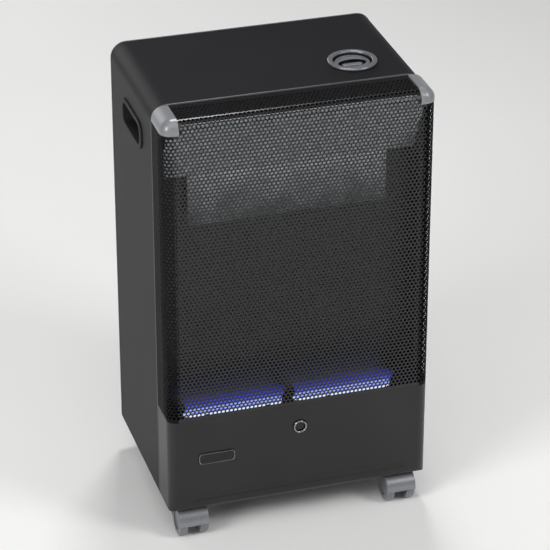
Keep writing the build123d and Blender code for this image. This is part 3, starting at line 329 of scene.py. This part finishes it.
hems = [case_hem("case_front_hem", CASE_FRONT + 1.7 * MM),
        case_hem("case_rear_hem", CASE_BACK - 1.8 * MM)]


# ---- polished beads round the plain badge plate and the viewing port ----
def badge_rim():
    """Fine bead round the badge plate, just inside its edge."""
    inset = 1.2 * MM
    bend = BADGE_CORNER - inset
    right = BADGE_X + BADGE_LENGTH / 2 - inset - bend
    left = BADGE_X - BADGE_LENGTH / 2 + inset + bend
    top = BADGE_Z + BADGE_WIDTH / 2 - inset - bend
    foot = BADGE_Z - BADGE_WIDTH / 2 + inset + bend
    line = quarter_turns([(right, top, 0.0), (left, top, math.pi / 2), (left, foot, math.pi),
                          (right, foot, 1.5 * math.pi)], bend, 6)
    return upright_bead("badge_rim", line, BADGE_FACE_Y, 0.7 * MM, 8, True)


def port_ring():
    """Bead round the viewing port: place = port's middle + radius * (cos a, sin a)."""
    radius = 9.7 * MM
    a = np.linspace(0, 2 * np.pi, 40, endpoint=False)
    line = np.stack([radius * np.cos(a), WINDOW_Z + radius * np.sin(a), np.cos(a), np.sin(a)],
                    axis=1)
    return upright_bead("port_ring", line, WINDOW_FACE_Y, 1.7 * MM, 12, True)


chrome_beads = [badge_rim(), port_ring()]


# ---- flames over the burner ports ----
FLAME_FOOT = BURNER_TOP + 0.4 * MM
FLAME_LEVELS = 9                # points up each flame
FLICKER_STEP = 9                # points along the loop between two random heights
END_FLAME_X = -82.0 * MM        # from the burner's middle
END_FLAME_Y = -3.0 * MM


def flame_curtain(name, middle_x, seed):
    """Thin sheet of flame on a burner's long loop of ports: point = loop + lean * outward,
    raised by v times a height that swells over each port, for v from 0 at the ports to 1."""
    half_run = (FLAME_PORT_COUNT - 1) / 2 * FLAME_PORT_PITCH
    bend = FLAME_ROW_PITCH / 2
    u = np.linspace(0, 1, 6 * FLAME_PORT_COUNT)
    a = np.linspace(-np.pi / 2, np.pi / 2, 8)[1:-1]
    x = np.concatenate([half_run * (2 * u - 1), half_run + bend * np.cos(a),
                        half_run * (1 - 2 * u), -half_run - bend * np.cos(a)])
    y = np.concatenate([-bend + 0 * u, bend * np.sin(a), bend + 0 * u, -bend * np.sin(a)])
    out_x = (x - np.clip(x, -half_run, half_run)) / bend
    out_y = y / bend
    swell = np.abs(np.cos(np.pi * (x + half_run) / FLAME_PORT_PITCH)) ** 0.5
    knots = np.arange(0, len(x) + FLICKER_STEP, FLICKER_STEP)
    chance = np.random.default_rng(seed).random(len(knots))
    flicker = np.interp(np.arange(len(x)), knots, chance)
    height = (17.0 + 6.0 * swell + 8.0 * flicker) * MM
    v = np.linspace(0, 1, FLAME_LEVELS)[:, None]
    lean = (3.0 * v + 4.0 * v ** 2) * MM
    points = np.stack([middle_x + x + lean * out_x, BURNER_Y + y + lean * out_y,
                       FLAME_FOOT + v * height], axis=-1).reshape(-1, 3)
    return make_piece(name, points, tube_quads(FLAME_LEVELS, len(x), False))


def end_flame(name, middle_x):
    """Small flame at a burner's left end, a drop whose radius is r * sin(pi * w**0.6), for w
    from 0 at its foot to 1 at its tip."""
    around = 10
    height = 15.0 * MM
    w = np.linspace(0, 1, FLAME_LEVELS)[:, None]
    a = np.linspace(0, 2 * np.pi, around, endpoint=False)
    radius = 3.2 * MM * np.sin(np.pi * w ** 0.6)
    points = np.stack([middle_x + END_FLAME_X + radius * np.cos(a),
                       BURNER_Y + END_FLAME_Y + radius * np.sin(a),
                       FLAME_FOOT + height * w + 0 * a], axis=-1).reshape(-1, 3)
    return make_piece(name, points, outward(points, tube_quads(FLAME_LEVELS, around, False)))


flames = [flame_curtain("flames_left", -BURNER_X, 3), flame_curtain("flames_right", BURNER_X, 8),
          end_flame("end_flame_left", -BURNER_X), end_flame("end_flame_right", BURNER_X)]


# ---- finishes ----
def linear(hex_colour):
    """sRGB hex colour as linear red, green, blue and an alpha of 1."""
    value = np.array([int(hex_colour[i:i + 2], 16) for i in (1, 3, 5)]) / 255
    value = np.where(value <= 0.04045, value / 12.92, ((value + 0.055) / 1.055) ** 2.4)
    return (*value.tolist(), 1.0)


def put(tree, kind, settings=None, links=None):
    """One node of a kind, with its properties or inputs set by name and its inputs linked."""
    node = tree.nodes.new("ShaderNode" + kind)
    for name, value in (settings or {}).items():
        if hasattr(node, str(name)):
            setattr(node, name, value)
        else:
            node.inputs[name].default_value = value
    for name, socket in (links or {}).items():
        tree.links.new(socket, node.inputs[name])
    return node


def new_finish(name, **settings):
    """Material with one shader whose inputs are set by name, and the piece's own coordinates."""
    material = bpy.data.materials.new(name)
    material.use_nodes = True
    tree = material.node_tree
    shader = tree.nodes["Principled BSDF"]
    for key, value in settings.items():
        shader.inputs[key.replace("_", " ")].default_value = value
    place = put(tree, "TexCoord").outputs["Object"]
    return material, tree, shader, place


def tint(tree, shader, factor, dark, light):
    """Base colour that goes from dark to light with a factor between 0 and 1."""
    mix = put(tree, "Mix", {"data_type": "RGBA", 6: linear(dark), 7: linear(light)}, {0: factor})
    tree.links.new(mix.outputs[2], shader.inputs["Base Color"])


def relief(tree, shader, height, distance, strength):
    """Bump of the shader from a height between 0 and 1 that stands for a distance."""
    bump = put(tree, "Bump", {"Strength": strength, "Distance": distance}, {"Height": height})
    tree.links.new(bump.outputs["Normal"], shader.inputs["Normal"])


def vary_roughness(tree, shader, factor, low, high):
    """Roughness that goes from low to high with a factor between 0 and 1."""
    span = put(tree, "MapRange", {"To Min": low, "To Max": high}, {"Value": factor})
    tree.links.new(span.outputs["Result"], shader.inputs["Roughness"])


def per_metre(size):
    """Texture scale whose cells are as wide as a size in metres."""
    return 1.0 / size


def coated_steel(name, dark, light, grit, roughness, ior=1.45):
    """Sheet steel with a fine-textured powder coat: small soft grains that break the gloss, and
    a slow mottling where the coat is thicker. A matting agent lowers the coat's IOR."""
    material, tree, shader, place = new_finish(name, IOR=ior)
    grain = put(tree, "TexNoise", {"Scale": per_metre(grit), "Detail": 2.0}, {"Vector": place})
    cloud = put(tree, "TexNoise", {"Scale": per_metre(90 * MM), "Detail": 3.0}, {"Vector": place})
    both = put(tree, "Math", {"operation": "MULTIPLY_ADD", 1: 0.45},
               {0: grain.outputs["Fac"], 2: cloud.outputs["Fac"]})
    spread = put(tree, "MapRange", {"From Min": 0.45, "From Max": 1.0},
                 {"Value": both.outputs[0]})
    tint(tree, shader, spread.outputs["Result"], dark, light)
    vary_roughness(tree, shader, grain.outputs["Fac"], roughness - 0.05, roughness + 0.05)
    relief(tree, shader, grain.outputs["Fac"], 0.06 * MM, 0.4)
    return material


def moulded(name, dark, light, roughness, grain_size, depth, flake=0.0):
    """Injection-moulded plastic: an even colour with a fine spark-eroded grain, a little duller
    in the hollows of the grain, and slow waves where the wall has sunk. Flake is the share of
    metal pigment in it."""
    material, tree, shader, place = new_finish(name, IOR=1.49, Metallic=flake)
    grain = put(tree, "TexVoronoi", {"Scale": per_metre(grain_size)}, {"Vector": place})
    sink = put(tree, "TexNoise", {"Scale": per_metre(35 * MM), "Detail": 1.0}, {"Vector": place})
    tint(tree, shader, sink.outputs["Fac"], dark, light)
    vary_roughness(tree, shader, grain.outputs["Distance"], roughness + 0.05, roughness - 0.05)
    relief(tree, shader, grain.outputs["Distance"], depth, 0.5)
    return material


def rolled_metal(name, dark, light, roughness, along, spacing=0.5 * MM):
    """Bare sheet or rod: fine lines from rolling, stretched along one axis, and a slow change
    of tone from handling and heat."""
    material, tree, shader, place = new_finish(name, Metallic=1.0)
    stretch = [1.0, 1.0, 1.0]
    stretch[along] = 0.03
    lines = put(tree, "Mapping", {"Scale": stretch}, {"Vector": place})
    streak = put(tree, "TexNoise", {"Scale": per_metre(spacing), "Detail": 2.0},
                 {"Vector": lines.outputs["Vector"]})
    cloud = put(tree, "TexNoise", {"Scale": per_metre(60 * MM), "Detail": 2.0}, {"Vector": place})
    both = put(tree, "Math", {"operation": "MULTIPLY_ADD", 1: 0.4},
               {0: streak.outputs["Fac"], 2: cloud.outputs["Fac"]})
    spread = put(tree, "MapRange", {"From Min": 0.4, "From Max": 1.0},
                 {"Value": both.outputs[0]})
    tint(tree, shader, spread.outputs["Result"], dark, light)
    vary_roughness(tree, shader, streak.outputs["Fac"], roughness - 0.07, roughness + 0.07)
    relief(tree, shader, streak.outputs["Fac"], 0.03 * MM, 0.35)
    return material


def heat_dulled_and_shaded_steel(name, cool, hot, foot, head, roughness=0.43, bare=1.0, most=0.9):
    """Steel that has been heated: satin, with a duller or browner tint that comes in between two
    heights, at most by a share, in clouds; on the deflector this tint is painted shade. Bare is
    1 for clean metal, less under a dull skin."""
    material, tree, shader, place = new_finish(name, Metallic=bare)
    height = put(tree, "SeparateXYZ", None, {"Vector": place})
    cloud = put(tree, "TexNoise", {"Scale": per_metre(45 * MM), "Detail": 3.0}, {"Vector": place})
    level = put(tree, "MapRange", {"From Min": foot, "From Max": head, "To Min": most,
                                   "To Max": 0.0}, {"Value": height.outputs["Z"]})
    soft = put(tree, "Math", {"operation": "MULTIPLY", "use_clamp": True},
               {0: level.outputs["Result"], 1: cloud.outputs["Fac"]})
    tint(tree, shader, soft.outputs[0], cool, hot)
    vary_roughness(tree, shader, cloud.outputs["Fac"], roughness - 0.09, roughness + 0.09)
    relief(tree, shader, cloud.outputs["Fac"], 0.25 * MM, 0.3)
    return material


# where the knob's hollow is painted black, partly as painted shade, in mm from the middle of its
# face
PAINT_REACH = 23.5
PAINT_DEPTH = 0.2
BAR_ROOM = (("X", 16.6), ("Y", 4.6), ("Z", 3.85))


def knob_finish():
    """Moulded knob in satin silver grey, whose oval hollow is painted black, partly for its own
    black and partly as painted shade of the deep hollow: the black is where the surface lies
    under the face and within the face's edge, but not on the grip bar."""
    material, tree, shader, place = new_finish("satin_silver_knob", IOR=1.49, Metallic=0.25)
    centred = put(tree, "Mapping", {"Location": (-DIAL_X, -DIAL_Y, -KNOB_FACE_Z)},
                  {"Vector": place})
    part = put(tree, "SeparateXYZ", None, {"Vector": centred.outputs["Vector"]})
    level = put(tree, "CombineXYZ", None, {"X": part.outputs["X"], "Y": part.outputs["Y"]})
    reach = put(tree, "VectorMath", {"operation": "LENGTH"}, {0: level.outputs["Vector"]})
    within = put(tree, "Math", {"operation": "LESS_THAN", 1: PAINT_REACH * MM},
                 {0: reach.outputs["Value"]})
    below = put(tree, "Math", {"operation": "LESS_THAN", 1: -PAINT_DEPTH * MM},
                {0: part.outputs["Z"]})
    hollow = put(tree, "Math", {"operation": "MULTIPLY"},
                 {0: within.outputs[0], 1: below.outputs[0]})
    spread = put(tree, "VectorMath", {"operation": "ABSOLUTE"}, {0: centred.outputs["Vector"]})
    apart = put(tree, "SeparateXYZ", None, {"Vector": spread.outputs["Vector"]})
    past = [put(tree, "Math", {"operation": "GREATER_THAN", 1: limit * MM},
                {0: apart.outputs[axis]}) for axis, limit in BAR_ROOM]
    beside = put(tree, "Math", {"operation": "MAXIMUM"},
                 {0: past[0].outputs[0], 1: past[1].outputs[0]})
    off_bar = put(tree, "Math", {"operation": "MAXIMUM"},
                  {0: beside.outputs[0], 1: past[2].outputs[0]})
    # black in the hollow: partly the knob's own black, partly painted shade of the deep hollow
    black = put(tree, "Math", {"operation": "MULTIPLY"},
                {0: hollow.outputs[0], 1: off_bar.outputs[0]})
    tint(tree, shader, black.outputs[0], "#77797e", "#0b0b0d")
    grain = put(tree, "TexVoronoi", {"Scale": per_metre(0.6 * MM)}, {"Vector": place})
    vary_roughness(tree, shader, grain.outputs["Distance"], 0.42, 0.32)
    relief(tree, shader, grain.outputs["Distance"], 0.04 * MM, 0.4)
    return material


def pale_ceramic():
    """Glazed white ceramic, a little cream, with faint specks from firing."""
    material, tree, shader, place = new_finish("glazed_ceramic", IOR=1.55)
    speck = put(tree, "TexNoise", {"Scale": per_metre(1.5 * MM), "Detail": 3.0}, {"Vector": place})
    tint(tree, shader, speck.outputs["Fac"], "#d6d1c4", "#f1eee6")
    vary_roughness(tree, shader, speck.outputs["Fac"], 0.12, 0.3)
    return material


def smoked_glass():
    """Thin smoked glass of the viewing port: dark, smooth and seen through, with faint ripples."""
    material, tree, shader, place = new_finish("smoked_glass", IOR=1.5, Transmission_Weight=0.85)
    ripple = put(tree, "TexNoise", {"Scale": per_metre(6 * MM)}, {"Vector": place})
    tint(tree, shader, ripple.outputs["Fac"], "#23272c", "#343a40")
    vary_roughness(tree, shader, ripple.outputs["Fac"], 0.03, 0.08)
    return material


def burning_gas(foot, head, strength):
    """Burning gas, lit from within: pale blue at the port, then blue, then violet that fades
    out towards the tip."""
    material, tree, shader, place = new_finish("blue_gas_flame", Roughness=1.0,
                                               Emission_Strength=strength,
                                               Base_Color=linear("#000000"),
                                               Specular_IOR_Level=0.0)
    height = put(tree, "SeparateXYZ", None, {"Vector": place})
    level = put(tree, "MapRange", {"From Min": foot, "From Max": head},
                {"Value": height.outputs["Z"]})
    ramp = put(tree, "ValToRGB", None, {"Fac": level.outputs["Result"]})
    stops = ((0.0, "#dbe6ff"), (0.13, "#d3e0ff"), (0.2, "#5c70d8"), (0.45, "#444cc4"),
             (0.75, "#33289c"), (1.0, "#221674"))
    while len(ramp.color_ramp.elements) < len(stops):
        ramp.color_ramp.elements.new(0.5)
    for element, (position, colour) in zip(ramp.color_ramp.elements, stops):
        element.position = position
        element.color = linear(colour)
    tree.links.new(ramp.outputs["Color"], shader.inputs["Emission Color"])
    fade = put(tree, "MapRange", {"From Min": foot, "From Max": head, "To Min": 0.8,
                                  "To Max": 0.0}, {"Value": height.outputs["Z"]})
    tree.links.new(fade.outputs["Result"], shader.inputs["Alpha"])
    return material


finishes = {
    # charcoal powder coat: grains of about 0.8 mm, drawn at 1.2 mm so that they show; the coat
    # is nearly black, and what the eye sees is its soft sheen
    "case_paint": coated_steel("charcoal_powder_coat", "#0f0f13", "#151519", 1.2 * MM, 0.52,
                               1.27),
    # smoother, slightly paler coat on the pressed front panel
    "front_paint": coated_steel("graphite_powder_coat", "#18181a", "#1f1f21", 1.0 * MM, 0.38),
    # black powder coat on the tray, as coarse as the case's
    "tray_paint": coated_steel("black_tray_coat", "#19191b", "#222225", 1.2 * MM, 0.5),
    # silver-grey ABS with a satin grain: soft broad highlights
    "cap_plastic": moulded("satin_silver_abs", "#7e7f83", "#8c8d91", 0.33, 0.8 * MM, 0.02 * MM,
                           0.2),
    # aluminised steel that the flames have dulled and browned
    "firebox_steel": heat_dulled_and_shaded_steel("aluminised_steel", "#5b5c5d", "#48433d", 0.17, 0.55),
    # zinc coats: grey and matt where they get hot, paler and cloudy on the inner sheets
    "shelf_steel": rolled_metal("zinc_coated_shelf", "#5f6265", "#7b7e81", 0.5, 0),
    "inner_steel": rolled_metal("zinc_coated_sheet", "#85898c", "#a6aaad", 0.42, 2),
    # bright annealed deflector: pale, with a dull skin from the heat, so it looks almost white
    # its darker tint on the apron, from 0.63 m down to 0.53 m, is painted shade of the deeper apron
    "bright_steel": heat_dulled_and_shaded_steel("bright_annealed_steel", "#e6ebf0", "#7b7e82", 0.53, 0.63,
                                      roughness=0.5, bare=0.3, most=2.0),
    # stainless burner bars, straw to blue where the flames have tinted them
    "burner_steel": heat_dulled_and_shaded_steel("tinted_stainless", "#8a857c", "#4c5468", 0.17, 0.20),
    # drawn tubes and plated pipes: satin, with lines along their length
    "tube_steel": rolled_metal("drawn_steel_tube", "#8a8d90", "#aaadb0", 0.35, 2),
    "pipe_steel": rolled_metal("plated_gas_pipe", "#a3a39a", "#c0bfb4", 0.3, 2),
    "pilot_alloy": rolled_metal("nickel_alloy", "#8c8a84", "#adaaa2", 0.35, 2),
    # turned fittings and the probe, warm in colour and with sharp highlights
    "brass_fitting": rolled_metal("turned_brass", "#b08d45", "#d1b066", 0.25, 0),
    "probe_copper": rolled_metal("copper_probe", "#a8653f", "#c7835c", 0.3, 2),
    "ceramic": pale_ceramic(),
    # sand-cast valve: coarse grain and dull light
    "valve_alloy": rolled_metal("cast_aluminium", "#a7a9ab", "#c3c5c7", 0.5, 1, 2.0 * MM),
    # ground spindle and axles, smooth and bright
    "spindle_steel": rolled_metal("ground_steel", "#9fa2a5", "#c4c6c8", 0.22, 2),
    # black mouldings: a fine grain that softens the light on them
    "igniter_plastic": moulded("black_nylon", "#1a1a1c", "#242427", 0.45, 0.8 * MM, 0.04 * MM),
    "dish_plastic": moulded("black_dish_plastic", "#17171a", "#212125", 0.4, 0.8 * MM,
                            0.04 * MM),
    # silver-pigmented ring, brighter on its edges than the knob in it
    "ring_plastic": moulded("satin_silver_ring", "#77787d", "#87888d", 0.3, 0.7 * MM, 0.02 * MM,
                            0.5),
    "knob_plastic": knob_finish(),
    # black chrome: a dark mirror with small sharp glints
    "bezel_chrome": rolled_metal("black_chrome", "#1f2023", "#2c2d30", 0.14, 1),
    "port_glass": smoked_glass(),
    # lacquered plate, darker than the panel that it sits on
    "badge_alloy": moulded("black_badge_lacquer", "#050506", "#09090b", 0.3, 0.5 * MM,
                           0.01 * MM),
    # trim of the hand-holds, with a coarse dull grain for the fingers
    "grip_plastic": moulded("black_grip_plastic", "#0d0d0f", "#141416", 0.7, 1.0 * MM,
                            0.06 * MM),
    # grey nylon hoods and wheels of the castors, alike in tone, with broad soft highlights
    "hood_plastic": moulded("grey_castor_nylon", "#7c7d82", "#8b8c91", 0.27, 0.9 * MM,
                            0.02 * MM, 0.3),
    "wheel_plastic": moulded("grey_wheel_nylon", "#747579", "#838488", 0.32, 0.9 * MM,
                             0.03 * MM, 0.3),
    # zinc-plated screws: small bright dots
    "screw_steel": rolled_metal("zinc_plated_screw", "#9b9d9f", "#bcbec0", 0.3, 1),
}

for subpart in frame["record"]["subparts"]:
    finish = finishes[subpart["material_slot"]]
    materials = frame["nodes"][subpart["node"]].data.materials
    materials.clear()
    materials.append(finish)


def dress(piece, slot, finish=None):
    """The piece takes a slot's finish, or its own, and rides on the cabinet."""
    piece.data.materials.append(finish or finishes[slot])
    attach(piece, "cabinet")


# the guard's enamel is glossier where the rolled sheet is smooth, and dull on its folded sides
guard_finish = coated_steel("gloss_guard_enamel", "#121214", "#18181a", 1.5 * MM, 0.22, 1.5)
side_finish = coated_steel("dull_guard_coat", "#101012", "#161618", 1.5 * MM, 0.65, 1.18)
for piece in guard_pieces:
    dress(piece, "front_paint", side_finish if "side" in piece.name else guard_finish)
# rolled edge painted much paler than the case: a painted highlight that shows as a fine line
hem_highlight_finish = coated_steel("painted_highlight_edge_coat", "#4a4a4f", "#5c5c61", 1.2 * MM, 0.32, 1.5)
for piece in hems:
    dress(piece, "case_paint", hem_highlight_finish)
# the beads are polished brighter than what they go round, so they show as thin glinting lines
bead_finish = rolled_metal("polished_chrome", "#85878b", "#9b9da1", 0.12, 1)
for piece in chrome_beads:
    dress(piece, "bezel_chrome", bead_finish)
# from just over the burner's top to the tallest tip
flame_finish = burning_gas(196.5 * MM, 232.0 * MM, 1.5)
for piece in flames:
    dress(piece, "burner_steel", flame_finish)


# ---- stage: pale floor, soft light, camera ----
def pale_floor():
    """Flat disc under the object, drawn as a ring grid of radius * (cos a, sin a)."""
    around = 48
    radius = np.array([0.0, 1.0, 4.0, 20.0])
    a = np.linspace(0, 2 * np.pi, around, endpoint=False)
    points = np.stack([radius[:, None] * np.cos(a), radius[:, None] * np.sin(a),
                       0 * radius[:, None] + 0 * a], axis=-1).reshape(-1, 3)
    floor = make_piece("floor", points, tube_quads(len(radius), around, False))
    material, tree, shader, place = new_finish("pale_floor", Roughness=0.9)
    cloud = put(tree, "TexNoise", {"Scale": per_metre(800 * MM)}, {"Vector": place})
    tint(tree, shader, cloud.outputs["Fac"], "#f1f1f0", "#f6f6f5")
    floor.data.materials.append(material)


pale_floor()

world = bpy.data.worlds.new("studio")
bpy.context.scene.world = world
world.use_nodes = True
sky = world.node_tree
# pale round the horizon, dim from a fifth of the way up, and a little brighter overhead
way = put(sky, "SeparateXYZ", None, {"Vector": put(sky, "TexCoord").outputs["Generated"]})
dome = put(sky, "ValToRGB", None, {"Fac": way.outputs["Z"]})
for position in (0.1, 0.24, 0.8):
    dome.color_ramp.elements.new(position)
for element, strength in zip(dome.color_ramp.elements, (0.8, 0.75, 0.07, 0.07, 0.4)):
    element.color = (strength, strength, strength, 1.0)
sky.links.new(dome.outputs["Color"], sky.nodes["Background"].inputs["Color"])


def soft_lamp(name, place, aim, size, power):
    """Square lamp of a size, at a place and turned towards the point that it aims at."""
    lamp = bpy.data.lights.new(name, "AREA")
    lamp.shape = "SQUARE"
    lamp.size = size
    lamp.energy = power
    holder = bpy.data.objects.new(name, lamp)
    away = np.array(place) - np.array(aim)
    across = math.hypot(away[0], away[1])
    holder.location = place
    holder.rotation_euler = (math.atan2(across, away[2]), 0.0, math.atan2(away[0], -away[1]))
    bpy.context.scene.collection.objects.link(holder)


# large soft lamps at both front sides, a small one overhead for the line of light along the
# guard's fold, a broad one over the front, and a weak one behind
soft_lamp("left_softbox", (-3.1, -1.8, 2.2), (0.0, 0.0, 0.4), 1.6, 75.0)
soft_lamp("right_softbox", (2.2, -2.45, 2.65), (0.0, 0.0, 0.4), 1.2, 55.0)
soft_lamp("top_softbox", (0.3, 1.05, 3.35), (0.0, 0.0, 0.7), 0.5, 34.0)
soft_lamp("front_overhead", (-0.6, -2.2, 3.9), (0.0, 0.0, 0.4), 3.0, 38.0)
soft_lamp("rear_fill", (-0.9, 3.4, 1.3), (0.0, 0.0, 0.4), 1.8, 26.0)

# the photograph's camera: a long lens from the front left, looking down
camera = bpy.data.cameras.new("photo_view")
camera.sensor_width = 36.0
camera.lens = 177.1
viewer = bpy.data.objects.new("photo_view", camera)
viewer.location = (-1.111, -3.670, 2.434)
viewer.rotation_euler = (math.radians(61.647), 0.0, math.radians(-17.016))
bpy.context.scene.collection.objects.link(viewer)
bpy.context.scene.camera = viewer
bpy.context.scene.view_settings.view_transform = "Standard"
